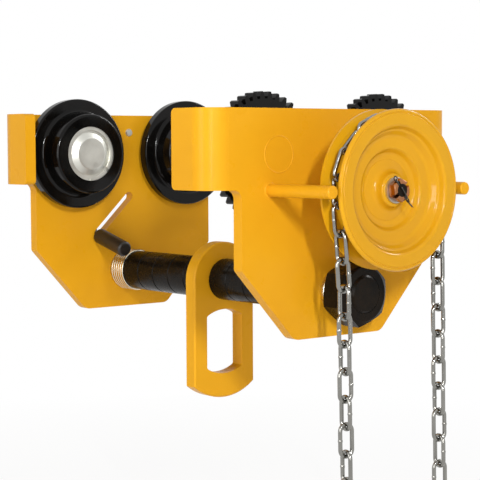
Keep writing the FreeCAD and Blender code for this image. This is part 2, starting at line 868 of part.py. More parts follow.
def load_nut(label, side):
    body = new_body(label)
    seat = outer_face + outer_stack
    start = seat if side == REAR else -(seat + size.nut_height)
    hex_nut(body, size.nut_flats, size.nut_height, start, size.nut_turn, threaded_bore)
    place(body, z=load_shaft_z)
    return keep(body)


load_nut("load_nut_front", FRONT)
load_nut("load_nut_rear", REAR)


def edged_ring(bore, radius, start, width, edge):
    """A ring's section with both outer edges broken, growing towards +Y."""
    stop = start + width
    return [(bore, start), (radius - edge, start), (radius, start + edge), (radius, stop - edge),
            (radius - edge, stop), (bore, stop)]


def washer_row(label, start, count):
    body = new_body(label)
    points = edged_ring(threaded_bore, size.zinc_washer_radius, start, size.zinc_washer_thickness,
                        size.zinc_washer_edge)
    repeat_along_y(body, revolve(body, points), size.zinc_washer_thickness, count)
    place(body, z=load_shaft_z)
    return keep(body)


inner_stack = INNER_ZINC_WASHERS * size.zinc_washer_thickness
washer_row("zinc_washers_rear", inner_face - inner_stack, INNER_ZINC_WASHERS)
washer_row("zinc_washers_front", -inner_face, INNER_ZINC_WASHERS)
washer_row("nut_washers_rear", outer_face, OUTER_ZINC_WASHERS)
washer_row("nut_washers_front", -(outer_face + outer_stack), OUTER_ZINC_WASHERS)

# The tubes share the room between the washers and the suspension plate
half_suspension = size.suspension_thickness / 2
tubes_outer = inner_face - inner_stack
tubes_inner = half_suspension + size.free_clearance
spacer_length = (tubes_outer - tubes_inner) / SPACERS_PER_SIDE


def spacer_row(label, start):
    body = new_body(label)
    points = edged_ring(threaded_bore, size.spacer_radius, start, spacer_length, size.spacer_edge)
    repeat_along_y(body, revolve(body, points), spacer_length, SPACERS_PER_SIDE)
    place(body, z=load_shaft_z)
    return keep(body)


spacer_row("spacer_tubes_rear", tubes_inner)
spacer_row("spacer_tubes_front", -tubes_outer)


# Suspension plate: hangs on the load shaft, with an oblong eye for the hoist's hook


def suspension_plate():
    body = new_body("suspension_plate")
    half = size.suspension_width / 2
    foot = -size.suspension_drop
    foot_corner = foot + size.suspension_foot_rise
    shoulder = size.suspension_head - half
    foot_radius = (half * half + size.suspension_foot_rise * size.suspension_foot_rise) / (
        2 * size.suspension_foot_rise)
    outline = new_sketch(body)
    outline.setExpression("AttachmentOffset.Base.z", text_of(half_suspension))
    draw_outline(outline, [
        (-half, foot_corner), (0, foot), (half, foot_corner), (half, shoulder), (0, size.suspension_head),
        (-half, shoulder)], {0: foot_radius, 1: foot_radius, 3: half, 4: half})
    blank = pad(body, outline, size.suspension_thickness)
    round_edges(body, blank, size.suspension_edge, lambda m, d: near(abs(m.y), half_suspension), "Chamfer")

    slot_half = size.slot_width / 2
    rise = size.slot_end_rise
    end_radius = (slot_half * slot_half + rise * rise) / (2 * rise)
    low_point = foot + size.slot_foot
    high_point = low_point + size.slot_height
    corner_heights = (low_point + rise, high_point - rise)
    eye = new_sketch(body)
    draw_outline(eye, [
        (-slot_half, corner_heights[0]), (0, low_point), (slot_half, corner_heights[0]),
        (slot_half, corner_heights[1]), (0, high_point), (-slot_half, corner_heights[1])],
        {0: end_radius, 1: end_radius, 3: end_radius, 4: end_radius})
    eye_cut = pocket_through(body, eye)
    round_edges(body, eye_cut, size.slot_corner_radius,
                lambda m, d: near(abs(m.x), slot_half) and near(m.y, 0)
                and any(near(m.z, height) for height in corner_heights))
    hole = new_sketch(body)
    draw_circles(hole, [(0, 0, size.load_shaft_radius + size.running_clearance)])
    pocket_through(body, hole)
    place(body, z=load_shaft_z)
    return keep(body)


suspension_plate()


# Hand chain wheel: two pressed discs back to back on a hub, with the chain's groove between them


half_step = FULL_TURN / LINKS_PER_TURN / 2
chain_apothem = size.chain_pitch / 2 / tangent(half_step)
link_step_radius = chain_apothem - size.chain_wire_radius - size.free_clearance
link_slot_radius = link_step_radius - size.link_slot_depth
rim_radius = chain_apothem + size.rim_height
dish_radius = rim_radius - size.rim_width
dish_floor_radius = dish_radius - size.dish_slope
disc_parting = size.dish_floor - size.disc_thickness
rim_section = [
    (link_slot_radius, size.link_slot_half_width),
    (link_step_radius, size.link_slot_half_width),
    (link_step_radius, size.groove_half_width),
    (rim_radius - size.flare_height, size.groove_half_width),
    (rim_radius, size.groove_half_width + size.groove_flare),
    (rim_radius, size.rim_front - size.rim_round_depth),
    (rim_radius - size.rim_round_width, size.rim_front),
    (dish_radius, size.rim_front)]
rim_round = (size.rim_round_width * size.rim_round_width + size.rim_round_depth * size.rim_round_depth) / (
    2 * size.rim_round_depth)


def wheel_disc(label, before_rim, after_rim, facing, rounds):
    """One disc whose rim faces forwards (1) or backwards (-1). Its section goes out along the parting
    line, round the rim and back in; rounds are (radius, place, rounding) of the pressed corners."""
    rim = [(radius, facing * depth) for radius, depth in rim_section]
    section = before_rim + rim + after_rim
    points = [(radius, forward(depth)) for radius, depth in section]
    rounded_corner = len(before_rim) + len(rim) - 3
    body = new_body(label)
    feature = revolve(body, points, {rounded_corner: -facing * rim_round})
    for radius, depth, rounding in rounds:
        feature = round_edges(
            body, feature, rounding,
            lambda m, d: near(math.hypot(m.x, m.z), radius) and near(m.y, forward(depth)))
    place(body, z=drive_z)
    return keep(body)


# The front disc carries the web: it steps back through the bore of the rear one, down to the hub
web_bore = size.hub_radius + size.seat_clearance
web_back = size.web_floor - size.disc_thickness
web_floor_radius = size.web_radius - size.web_slope
rear_disc_bore = size.web_radius + size.rear_disc_margin
web_shoulder = rear_disc_bore - size.free_clearance
wheel_disc(
    "hand_wheel_front_disc",
    [(web_bore, web_back), (size.web_radius, web_back), (web_shoulder, disc_parting),
     (link_slot_radius, disc_parting)],
    [(dish_floor_radius, size.dish_floor), (size.web_radius, size.dish_floor),
     (web_floor_radius, size.web_floor), (web_bore, size.web_floor)],
    1,
    [(dish_radius, size.rim_front, size.dish_lip_round),
     (dish_floor_radius, size.dish_floor, size.dish_foot_round),
     (size.web_radius, size.dish_floor, size.web_lip_round),
     (web_floor_radius, size.web_floor, size.web_foot_round)])

rear_floor = disc_parting - size.disc_thickness
wheel_disc(
    "hand_wheel_rear_disc",
    [(rear_disc_bore, disc_parting), (link_slot_radius, disc_parting)],
    [(dish_floor_radius, rear_floor), (rear_disc_bore, rear_floor)],
    -1,
    [(dish_radius, -size.rim_front, size.dish_lip_round),
     (dish_floor_radius, rear_floor, size.dish_foot_round)])

shaft_bore = size.drive_shaft_radius + size.seat_clearance
turned("hand_wheel_hub", [
    (shaft_bore, forward(-size.hub_rear)), (size.hub_radius, forward(-size.hub_rear)),
    (size.hub_radius, forward(size.web_floor)), (size.hub_foot_radius, forward(size.web_floor)),
    (size.hub_nose_radius, forward(size.hub_front - size.hub_nose_round)),
    (size.hub_nose_radius - size.hub_nose_round, forward(size.hub_front)),
    (shaft_bore, forward(size.hub_front))], {3: size.hub_fillet, 4: -size.hub_nose_round}, z=drive_z)


# Drive shaft: pinion inside the plate, hand wheel outside, both held on the shaft


bush_inner = size.pinion_overhang
pinion_start = bush_inner + size.free_clearance
pinion_stop = flange_end + size.pinion_overhang
shaft_tail = pinion_stop + size.axle_clip_thickness + size.drive_shaft_tail
nut_seat = size.hub_front + size.hub_washer_thickness
thread_end = nut_seat + size.castle_height
pin_y = forward(thread_end) + size.split_pin_radius + size.free_clearance
drive_shaft = turned("drive_shaft", [
    (0, inward(FRONT, shaft_tail)), (size.drive_shaft_radius, inward(FRONT, shaft_tail)),
    (size.drive_shaft_radius, forward(size.hub_front - size.free_clearance)),
    (size.drive_thread_radius, forward(size.hub_front - size.free_clearance)),
    (size.drive_thread_radius, forward(thread_end)), (0, forward(thread_end))], z=drive_z)

# A cross hole takes the split pin
cross_hole = drive_shaft.newObject("PartDesign::SubtractiveCylinder", "drive_shaft_cross_hole")
cross_hole.setExpression("Radius", text_of(size.split_pin_radius + size.running_clearance))
cross_hole.setExpression("Height", text_of(4 * size.drive_thread_radius))
place(cross_hole, x=-2 * size.drive_thread_radius * sine(size.split_pin_turn), y=pin_y,
      z=-2 * size.drive_thread_radius * cosine(size.split_pin_turn), turn=size.split_pin_turn.value)


def pinion(label):
    body = new_body(label)
    tip = pinion_pitch_radius + size.gear_module
    revolve(body, ring_points(shaft_bore, tip, inward(FRONT, pinion_start), inward(FRONT, pinion_stop)))
    cut_teeth(body, size.pinion_teeth, round(size.pinion_teeth.value))
    place(body, z=drive_z)
    return keep(body)


pinion("pinion")
keep(shaft_clip(
    "pinion_clip", shaft_bore, inward(FRONT, pinion_stop + size.seat_clearance),
    inward(FRONT, pinion_stop + size.axle_clip_thickness), 0, drive_z))

bush_outer = size.chain_reach - size.hub_rear - size.free_clearance
flange_seat = bush_outer - size.bush_flange
turned("drive_housing", ring_points(
    size.bush_radius + size.seat_clearance, size.housing_radius, -outer_face, -(outer_face + flange_seat)),
    z=drive_z)
bush_bore = size.drive_shaft_radius + size.running_clearance
turned("drive_bush", [
    (bush_bore, inward(FRONT, bush_inner)), (size.bush_radius, inward(FRONT, bush_inner)),
    (size.bush_radius, -(outer_face + flange_seat)), (size.bush_flange_radius, -(outer_face + flange_seat)),
    (size.bush_flange_radius, -(outer_face + bush_outer)), (bush_bore, -(outer_face + bush_outer))], z=drive_z)

thread_bore = size.drive_thread_radius + size.seat_clearance
turned("hub_washer", ring_points(
    thread_bore, size.hub_washer_radius, forward(size.hub_front), forward(nut_seat)), z=drive_z)


def castle_nut(label):
    """A hexagon nut with slots across its outer face for the split pin."""
    body = new_body(label)
    start = forward(thread_end)
    hex_nut(body, size.castle_flats, size.castle_height, start, 0, thread_bore)
    slot = new_sketch(body, "XY_Plane")
    half = size.castle_slot_width / 2
    draw_outline(slot, [(-half, start - size.overrun), (half, start - size.overrun),
                        (half, start + size.castle_slot_depth), (-half, start + size.castle_slot_depth)])
    pattern = body.newObject("PartDesign::PolarPattern", f"{body.Name}_slots")
    pattern.Originals = [pocket_through(body, slot)]
    axis = next(item for item in body.Origin.OriginFeatures if item.Role == "Y_Axis")
    pattern.Axis = (axis, [""])
    pattern.Angle = FULL_TURN / 2
    pattern.Occurrences = CASTLE_SLOTS
    body.Tip = pattern
    place(body, z=drive_z, turn=size.split_pin_turn.value)
    return keep(body)


castle_nut("castle_nut")

# Chain guide rods, welded square to the front plate beside the hand wheel


def guide_rod(label, hand):
    end = outer_face + size.rod_length
    edge = size.rod_edge
    points = [(0, -outer_face), (size.rod_radius, -outer_face), (size.rod_radius, edge - end),
              (size.rod_radius - edge, -end), (0, -end)]
    return turned(label, points, x=hand * (rim_radius + size.rod_gap + size.rod_radius), z=drive_z)


guide_rod("guide_rod_left", LEFT)
guide_rod("guide_rod_right", RIGHT)


# Hand chain: closed links, each turned a quarter from the one before, in an endless loop


def chain_link():
    """One link lying in the XZ plane with its length along Z: round wire bent to a stadium."""
    wire = size.chain_wire_radius.value
    bend = size.chain_link_width.value / 2 - wire
    straight = chain_pitch / 2 + wire + size.chain_play.value - bend
    corners = [FreeCAD.Vector(x, 0, z) for x, z in (
        (bend, -straight), (bend, straight), (-bend, straight), (-bend, -straight))]
    crown = FreeCAD.Vector(0, 0, straight + bend)
    path = Part.Wire([
        Part.LineSegment(corners[0], corners[1]).toShape(),
        Part.Arc(corners[1], crown, corners[2]).toShape(),
        Part.LineSegment(corners[2], corners[3]).toShape(),
        Part.Arc(corners[3], -crown, corners[0]).toShape()])
    section = Part.Wire([Part.makeCircle(wire, corners[0], FreeCAD.Vector(0, 0, 1))])
    return path.makePipeShell([section], True, False)


def chain_run(label, start, angles, flat_first, twist=0):
    """Links from a point (X, Z) onwards, one pitch each, at the given angles above the level. Every other
    link lies flat across the wheel, and the run twists steadily. Returns the point where it ends."""
    links = []
    x, z = start
    for number, angle in enumerate(angles):
        across = chain_pitch * math.cos(math.radians(angle))
        up = chain_pitch * math.sin(math.radians(angle))
        flat = (number % 2 == 0) == flat_first
        link = chain_link()
        link.rotate(FreeCAD.Vector(), FreeCAD.Vector(0, 0, 1), (90 if flat else 0) + twist * (number + 1))
        link.rotate(FreeCAD.Vector(), FreeCAD.Vector(0, 1, 0), 90 - angle)
        link.translate(FreeCAD.Vector(x + across / 2, 0, z + up / 2))
        links.append(link)
        x += across
        z += up
    group = doc.addObject("Part::Feature", label)
    group.Label = label
    group.Shape = Part.makeCompound(links)
    group.Placement = FreeCAD.Placement(FreeCAD.Vector(0, chain_y.value, drive_z.value), FreeCAD.Rotation())
    keep(group)
    return x, z


chain_pitch = size.chain_pitch.value
chain_step = FULL_TURN / LINKS_PER_TURN
half_turn_angles = [90 + chain_step * number for number in range(HALF_TURN_LINKS + 1)]

# Half a turn lies on the wheel, and a fall hangs from each end of it; the left one first swings inwards
right_end = (chain_apothem.value, -chain_pitch / 2)
left_end = chain_run("chain_on_wheel", right_end, half_turn_angles, True)
down = 270 + size.chain_lean.value
swung = 270 + size.chain_swing.value
fall_twist = size.chain_twist.value
left_foot = chain_run("chain_left_fall", left_end,
                      [swung] * SWUNG_LINKS + [down] * (LINKS_PER_FALL - SWUNG_LINKS), False, fall_twist)
right_foot = chain_run("chain_right_fall", right_end, [down] * LINKS_PER_FALL, False, fall_twist)



def bight_angles(width):
    """Angles of the links that turn the chain back, bent just so far that their ends lie width apart."""
    bend_shares = [2 * number / HALF_TURN_LINKS - 1 for number in range(HALF_TURN_LINKS + 1)]
    low, high = 0, FULL_TURN / 2
    for _ in range(HALVINGS):
        bend = (low + high) / 2
        if chain_pitch * sum(math.cos(math.radians(bend * share)) for share in bend_shares) > width:
            low = bend
        else:
            high = bend
    return [low * share for share in bend_shares]


# The falls hang closer together than the wheel is wide, and the bight joins their lower ends
span_x = right_foot[0] - left_foot[0]
span_z = right_foot[1] - left_foot[1]
tilt = math.degrees(math.atan2(span_z, span_x))
chain_run("chain_bight", left_foot, [angle + tilt for angle in bight_angles(math.hypot(span_x, span_z))], True)


# Split pin through the castle nut


def split_pin(label):
    """Round wire: a head on one side of the nut, and on the other two legs, one bent down along the nut
    and one folded back across the end of the shaft."""
    body = new_body(label)
    reach = size.castle_flats / 2 / cosine(30) + size.split_pin_radius
    fold_depth = 2 * (size.split_pin_radius + size.free_clearance)

    def straight(name, length, depth, turn):
        wire = body.newObject("PartDesign::AdditiveCylinder", f"{label}_{name}")
        wire.setExpression("Radius", size.split_pin_radius.text)
        wire.setExpression("Height", text_of(length))
        wire.Placement = FreeCAD.Placement(
            FreeCAD.Vector(), FreeCAD.Rotation(FreeCAD.Vector(1, 0, 0), turn))
        wire.setExpression("Placement.Base.y", text_of(-depth))
        wire.setExpression("Placement.Base.z", text_of(-reach))

    def ball(name, radius, depth, height):
        bulb = body.newObject("PartDesign::AdditiveSphere", f"{label}_{name}")
        bulb.setExpression("Radius", radius.text)
        bulb.setExpression("Placement.Base.y", text_of(-depth))
        bulb.setExpression("Placement.Base.z", text_of(height))

    straight("shank", 2 * reach, 0, 0)
    straight("leg", size.split_pin_leg, 0, 180 - size.split_pin_lean.value)
    straight("riser", fold_depth, 0, 90)
    straight("fold", size.split_pin_fold, fold_depth, 0)
    ball("head", size.split_pin_head, 0, reach)
    ball("bend", size.split_pin_knuckle, 0, -reach)
    ball("fold_bend", size.split_pin_knuckle, fold_depth, -reach)
    place(body, y=pin_y, z=drive_z, turn=size.split_pin_turn.value)
    return keep(body)


split_pin("split_pin")


# Captive pin in the slanted slot of the plain plate: steel neck and head, with a soft grip inside


def latch_piece(label, points, arcs=None):
    """A piece turned about the drooping pin's own axis; its Y = 0 is the middle of the plate."""
    body = new_body(label)
    revolve(body, points, arcs)
    middle = inner_face + size.plate_thickness / 2
    place(body, x=latch_low[0], y=middle, z=latch_low[1], turn=size.latch_droop.value, axis=(1, 0, 0))
    return keep(body)


head_start = size.plate_thickness / 2 + size.latch_stand_off
grip_start = -head_start
grip_stop = grip_start - size.grip_length
round_off = size.grip_round
core_stop = grip_stop + size.grip_end_wall
core_radius = size.latch_neck_radius + size.seat_clearance
latch_piece("latch_pin", [
    (0, core_stop), (size.latch_neck_radius, core_stop), (size.latch_neck_radius, head_start),
    (size.latch_head_radius, head_start), (size.latch_head_radius, head_start + size.latch_head_thickness),
    (0, head_start + size.latch_head_thickness)])
latch_piece("latch_grip", [
    (0, grip_stop), (size.grip_radius - round_off, grip_stop), (size.grip_radius, grip_stop + round_off),
    (size.grip_radius, grip_start - round_off), (size.grip_radius - round_off, grip_start),
    (core_radius, grip_start), (core_radius, core_stop - size.seat_clearance),
    (0, core_stop - size.seat_clearance)], {1: round_off, 3: round_off})

head_top = inner_face - size.rivet_head_height
turned("plate_rivet", [
    (0, outer_face), (size.rivet_radius, outer_face), (size.rivet_radius, inner_face),
    (size.rivet_head_radius, inner_face), (size.rivet_crown_radius, head_top), (0, head_top)],
    x=size.rivet_x, z=rivet_z)

doc.recompute()

faults = [item.Label for item in doc.Objects if {"Invalid", "Error"} & set(item.State)]
for piece in nodes:
    if piece.Shape.isNull() or not piece.Shape.isValid() or not piece.Shape.Solids:
        faults.append(piece.Label)
if faults:
    raise RuntimeError(f"These did not build: {faults}")

os.makedirs("parts", exist_ok=True)
for piece in nodes:
    piece.Shape.exportStep(os.path.join("parts", f"{piece.Label}.step"))
print(f"{len(nodes)} pieces written")
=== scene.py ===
import math

import bpy
import numpy as np
from mathutils import Matrix, Vector


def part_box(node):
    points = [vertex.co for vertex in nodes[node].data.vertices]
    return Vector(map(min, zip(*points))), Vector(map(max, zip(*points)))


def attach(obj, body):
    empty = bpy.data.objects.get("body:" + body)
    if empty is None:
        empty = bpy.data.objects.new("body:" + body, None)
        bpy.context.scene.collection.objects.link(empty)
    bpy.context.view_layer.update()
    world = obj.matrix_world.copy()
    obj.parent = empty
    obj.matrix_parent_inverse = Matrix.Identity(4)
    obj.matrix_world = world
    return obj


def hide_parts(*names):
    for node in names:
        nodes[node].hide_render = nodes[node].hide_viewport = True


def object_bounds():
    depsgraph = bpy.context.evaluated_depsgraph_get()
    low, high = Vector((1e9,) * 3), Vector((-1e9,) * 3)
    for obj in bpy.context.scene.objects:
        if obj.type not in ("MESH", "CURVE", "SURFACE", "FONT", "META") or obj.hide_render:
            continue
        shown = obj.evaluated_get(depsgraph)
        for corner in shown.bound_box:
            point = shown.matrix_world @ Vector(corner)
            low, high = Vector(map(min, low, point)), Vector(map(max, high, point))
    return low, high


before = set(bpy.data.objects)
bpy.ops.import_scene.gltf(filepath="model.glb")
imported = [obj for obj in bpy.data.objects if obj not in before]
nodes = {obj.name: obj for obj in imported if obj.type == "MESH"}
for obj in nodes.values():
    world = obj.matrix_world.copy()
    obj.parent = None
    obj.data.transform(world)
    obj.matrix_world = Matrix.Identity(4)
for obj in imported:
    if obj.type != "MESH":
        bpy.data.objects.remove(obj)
cad_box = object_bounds()


# Side plates: 12 mm steel, flame cut, folded at both ends and powder coated in a deep warm yellow.
# The coat is thick, with a fine orange peel, and a little duller in some patches than in others.

PATTERN_LOW = 0.3
PATTERN_HIGH = 0.7
PATTERN_ROUGHNESS = 0.55
COAT_SHINE = 0.10
COAT_SMOOTHER = 0.05
COAT_DULLER = 0.07
CLEAR_ROUGHNESS = 0.06


def new_finish(name):
    """An empty node material and its Principled shader."""
    material = bpy.data.materials.new(name)
    material.use_nodes = True
    return material, material.node_tree.nodes["Principled BSDF"]


def add_node(owner, kind, values=None, **settings):
    """One shader node; values sets its sockets by name, settings its own properties."""
    node = owner.node_tree.nodes.new(kind)
    for name, value in settings.items():
        setattr(node, name, value)
    for name, value in (values or {}).items():
        node.inputs[name].default_value = value
    return node


def mottle(material, scale, detail, stretch=None):
    """A noise pattern in object space, in cycles per metre; stretch squeezes it along an axis."""
    links = material.node_tree.links
    place = add_node(material, "ShaderNodeTexCoord").outputs["Object"]
    if stretch is not None:
        squeeze = add_node(material, "ShaderNodeMapping", {"Scale": stretch})
        links.new(place, squeeze.inputs["Vector"])
        place = squeeze.outputs["Vector"]
    pattern = add_node(material, "ShaderNodeTexNoise",
                       {"Scale": scale, "Detail": detail, "Roughness": PATTERN_ROUGHNESS})
    links.new(place, pattern.inputs["Vector"])
    return pattern.outputs["Fac"]


def mottled_finish(name, drift, tones, patches, roughness, grain, height, strength, stretch=None):
    """A finish that varies over the piece. Its colour drifts between two tones, each a place in the
    pattern and a colour. Its roughness varies in patches between two values, and a grain raises it
    by height in metres. drift, patches and grain are each a noise pattern's scale and detail."""
    material, shader = new_finish(name)
    links = material.node_tree.links
    shades = add_node(material, "ShaderNodeValToRGB")
    for stop, (place, colour) in zip(shades.color_ramp.elements, tones):
        stop.position = place
        stop.color = (*colour, 1.0)
    links.new(mottle(material, *drift), shades.inputs["Fac"])
    links.new(shades.outputs["Color"], shader.inputs["Base Color"])
    gloss = add_node(material, "ShaderNodeMapRange",
                     {"From Min": PATTERN_LOW, "From Max": PATTERN_HIGH,
                      "To Min": roughness[0], "To Max": roughness[1]})
    links.new(mottle(material, *patches), gloss.inputs["Value"])
    links.new(gloss.outputs["Result"], shader.inputs["Roughness"])
    relief = add_node(material, "ShaderNodeBump", {"Strength": strength, "Distance": height})
    links.new(mottle(material, *grain, stretch), relief.inputs["Height"])
    links.new(relief.outputs["Normal"], shader.inputs["Normal"])
    return material, shader


def powder_coat(name, light, dark, roughness, clear_coat):
    """Yellow powder coat: a slow drift between two shades, dulled patches and a fine orange peel."""
    material, shader = mottled_finish(
        name, drift=(9.0, 4.0), tones=((0.32, dark), (0.68, light)),
        patches=(38.0, 5.0), roughness=(roughness - COAT_SMOOTHER, roughness + COAT_DULLER),
        grain=(420.0, 2.0), height=0.00010, strength=0.25)
    shader.inputs["Specular IOR Level"].default_value = COAT_SHINE
    shader.inputs["Coat Weight"].default_value = clear_coat
    shader.inputs["Coat Roughness"].default_value = CLEAR_ROUGHNESS
    return material


def give_finish(material, *names):
    """Gives the named solids one finish."""
    for name in names:
        slots = nodes[name].data.materials
        slots.clear()
        slots.append(material)


plate_yellow = powder_coat("plate_yellow", light=(0.72, 0.352, 0.011), dark=(0.68, 0.320, 0.010),
                           roughness=0.30, clear_coat=0.03)
give_finish(plate_yellow, "geared_side_plate", "plain_side_plate")


# Wheel axles: turned steel stubs, pressed into the plates, welded flush and coated over with them.
# Outside, only the ground-down weld shows, as a faint raised ring round each axle's end.

RING_POINTS = 160
BEAD_POINTS = 12
RIPPLES = 26.0
SLOW_SWELLS = 3.0
SLOW_SHARE = 0.7
SLOW_START = 0.7
BEAD_SUNK = 0.35
AXLE_RING_RADIUS = 0.017
AXLE_RING_LEG = 0.0007
AXLE_RING_RIPPLE = 0.04


def full_turn(count):
    """Angles spaced evenly round a whole turn."""
    return np.linspace(0.0, 2 * np.pi, count, endpoint=False)


def grid_points(x, y, z):
    """One grid of points from three coordinates, each spread over the same rows and columns."""
    return np.stack(np.broadcast_arrays(x, y, z), axis=-1)[None]


def smooth_piece(name, points, wrap_rows, wrap_columns, material, body):
    """Turns grids of points into a smooth piece. points has the shape (pieces, rows, columns, 3).
    Each cell of a grid is a face with four corners, and a wrapped direction joins its last line of
    points to its first."""
    pieces, rows, columns, _ = points.shape
    row, column = np.meshgrid(np.arange(rows if wrap_rows else rows - 1),
                              np.arange(columns if wrap_columns else columns - 1), indexing="ij")
    below = (row + 1) % rows
    beside = (column + 1) % columns
    quads = np.stack([row * columns + column, row * columns + beside,
                      below * columns + beside, below * columns + column], axis=-1).reshape(-1, 4)
    first_points = np.arange(pieces) * rows * columns
    quads = (quads[None] + first_points[:, None, None]).reshape(-1, 4)
    mesh = bpy.data.meshes.new(name)
    mesh.from_pydata(points.reshape(-1, 3), [], quads.tolist(), shade_flat=False)
    mesh.materials.append(material)
    piece = bpy.data.objects.new(name, mesh)
    bpy.context.scene.collection.objects.link(piece)
    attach(piece, body)
    return piece


def end_middle(name, facing):
    """The middle of a solid's end across Y: the front end where facing is -1, the back where 1."""
    low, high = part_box(name)
    end = low[1] if facing < 0 else high[1]
    return (low[0] + high[0]) / 2, end, (low[2] + high[2]) / 2


def weld_ring(name, centre, facing, radius, leg, ripple):
    """A ring of weld on a face across Y that looks towards facing: a round section of half-width
    leg, carried round a circle and sunk a little into the face. Its thickness follows a cosine of
    the angle for the deposited ripples, plus a slower sine."""
    around = full_turn(RING_POINTS)[:, None]
    across = full_turn(BEAD_POINTS)[None, :]
    ripples = np.cos(RIPPLES * around) + SLOW_SHARE * np.sin(SLOW_SWELLS * around + SLOW_START)
    thick = leg * (1.0 + ripple * ripples)
    reach = radius + thick * np.cos(across)
    x = centre[0] + facing * reach * np.cos(around)
    y = centre[1] + facing * (thick * np.sin(across) - BEAD_SUNK * leg)
    z = centre[2] + reach * np.sin(around)
    smooth_piece(name, grid_points(x, y, z), True, True, plate_yellow, "frame")


for plate, facing in (("geared", -1), ("plain", 1)):
    for hand in ("left", "right"):
        axle = f"wheel_axle_{plate}_{hand}"
        give_finish(plate_yellow, axle)
        weld_ring(f"axle_ring_{plate}_{hand}", end_middle(axle, facing), facing,
                  AXLE_RING_RADIUS, AXLE_RING_LEG, AXLE_RING_RIPPLE)


# Wheels: forged and turned steel under black gloss enamel, two of them with cut teeth on the rim.
# They run on ball bearings on the axles, and a pinion between the two toothed ones drives both.

ENAMEL_DEEP = (0.0022, 0.0022, 0.0022)
ENAMEL_THIN = (0.00418, 0.0033, 0.00264)
ENAMEL_SHINE = 0.18

wheel_black, enamel_shader = mottled_finish(
    "wheel_black", drift=(24.0, 4.0), tones=((0.35, ENAMEL_DEEP), (0.75, ENAMEL_THIN)),
    patches=(60.0, 5.0), roughness=(0.03, 0.16), grain=(300.0, 2.0), height=0.00006, strength=0.2)
enamel_shader.inputs["Specular IOR Level"].default_value = ENAMEL_SHINE
give_finish(wheel_black, "geared_wheel_left", "geared_wheel_right", "plain_wheel_left",
            "plain_wheel_right", "pinion")


# Bearings and shaft clips: ground bearing steel, hidden inside the wheels behind the caps.
# The clips are spring steel, snapped into the grooves at the ends of the shafts.

STEEL_DARKER = 0.86
STEEL_POLISHED = 0.06
STEEL_DULLED = 0.08


def bare_steel(name, colour, roughness, marks, stretch=(1.0, 1.0, 1.0), relief=0.35):
    """Machined or plated metal: a faint uneven tint, and tool marks as deep as relief says, which
    run one way where stretch squeezes them along an axis."""
    darker = tuple(STEEL_DARKER * channel for channel in colour)
    material, shader = mottled_finish(
        name, drift=(55.0, 4.0), tones=((0.3, darker), (0.7, colour)),
        patches=(90.0, 3.0), roughness=(roughness - STEEL_POLISHED, roughness + STEEL_DULLED),
        grain=(marks, 2.0), height=0.00006, strength=relief, stretch=stretch)
    shader.inputs["Metallic"].default_value = 1.0
    return material


ground_steel = bare_steel("ground_steel", colour=(0.56, 0.56, 0.57), roughness=0.28, marks=500.0,
                          stretch=(1.0, 6.0, 1.0))
give_finish(ground_steel, "axle_clips", "pinion_clip",
            *(name for name in nodes if name.startswith("bearing_")))


# Wheel caps and their spring rings: pressed sheet, zinc plated, sprung into each wheel's end.
# The plating is even and slightly milky on the flat of the cap.

cap_zinc = bare_steel("cap_zinc", colour=(0.66, 0.655, 0.60), roughness=0.42, marks=120.0)
give_finish(cap_zinc, *(name for name in nodes if name.startswith(("wheel_cap_", "cap_clip_"))))


# Load shaft, spacers and nuts: alloy steel, chemically blackened and oiled, brown where it shines.
# The shaft runs through both plates, and the spacers set how far they stand apart.

OXIDE_DEEP = (0.0045, 0.00387, 0.00315)
OXIDE_BROWN = (0.0135, 0.00855, 0.0045)
OXIDE_SHINE = 0.08

shaft_black, oxide_shader = mottled_finish(
    "shaft_black", drift=(70.0, 6.0), tones=((0.3, OXIDE_DEEP), (0.78, OXIDE_BROWN)),
    patches=(130.0, 5.0), roughness=(0.16, 0.34), grain=(700.0, 3.0), height=0.00005, strength=0.3)
oxide_shader.inputs["Specular IOR Level"].default_value = OXIDE_SHINE
give_finish(shaft_black, "load_shaft", "load_nut_front", "load_nut_rear", "spacer_tubes_front",
            "spacer_tubes_rear")


# Distance washers: stamped steel, plated and passivated to a pale straw colour.
# Moving them from one side of a plate to the other sets the beam width.

straw_zinc = bare_steel("straw_zinc", colour=(0.76, 0.70, 0.56), roughness=0.24, marks=320.0,
                        stretch=(1.0, 8.0, 1.0))
give_finish(straw_zinc, "zinc_washers_front", "zinc_washers_rear", "nut_washers_front",
            "nut_washers_rear")


# Suspension plate: flame cut from 16 mm plate, ground at the edges and coated like the side plates.
# It hangs free on the shaft between the spacers.

give_finish(plate_yellow, "suspension_plate")


# Hand chain wheel: two discs pressed from sheet, spot welded back to back on a turned hub.
# The press left a rolled rim, a dish in two steps and a web that falls towards the flared hub.
# The coat is smoother here than on the thick plates, so its small rounds catch the lamps.

wheel_yellow = powder_coat("wheel_yellow", light=(0.645, 0.328, 0.008), dark=(0.605, 0.300, 0.007),
                           roughness=0.13, clear_coat=0.16)
give_finish(wheel_yellow, "hand_wheel_front_disc", "hand_wheel_rear_disc", "hand_wheel_hub")

MILLIMETRE = 0.001
CORNER_POINTS = 6
CORNER_LEAD = 0.15
TURN_POINTS = 200

low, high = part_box("chain_on_wheel")
chain_y = (low[1] + high[1]) / 2
hub_x, _, hub_z = end_middle("hand_wheel_hub", -1)
wheel_middle = (hub_x, chain_y, hub_z)


def parabola(start, pull, stop, share):
    """Points from start to stop on a parabola that leaves and arrives in line with pull."""
    return (1 - share) ** 2 * start + 2 * share * (1 - share) * pull + share ** 2 * stop


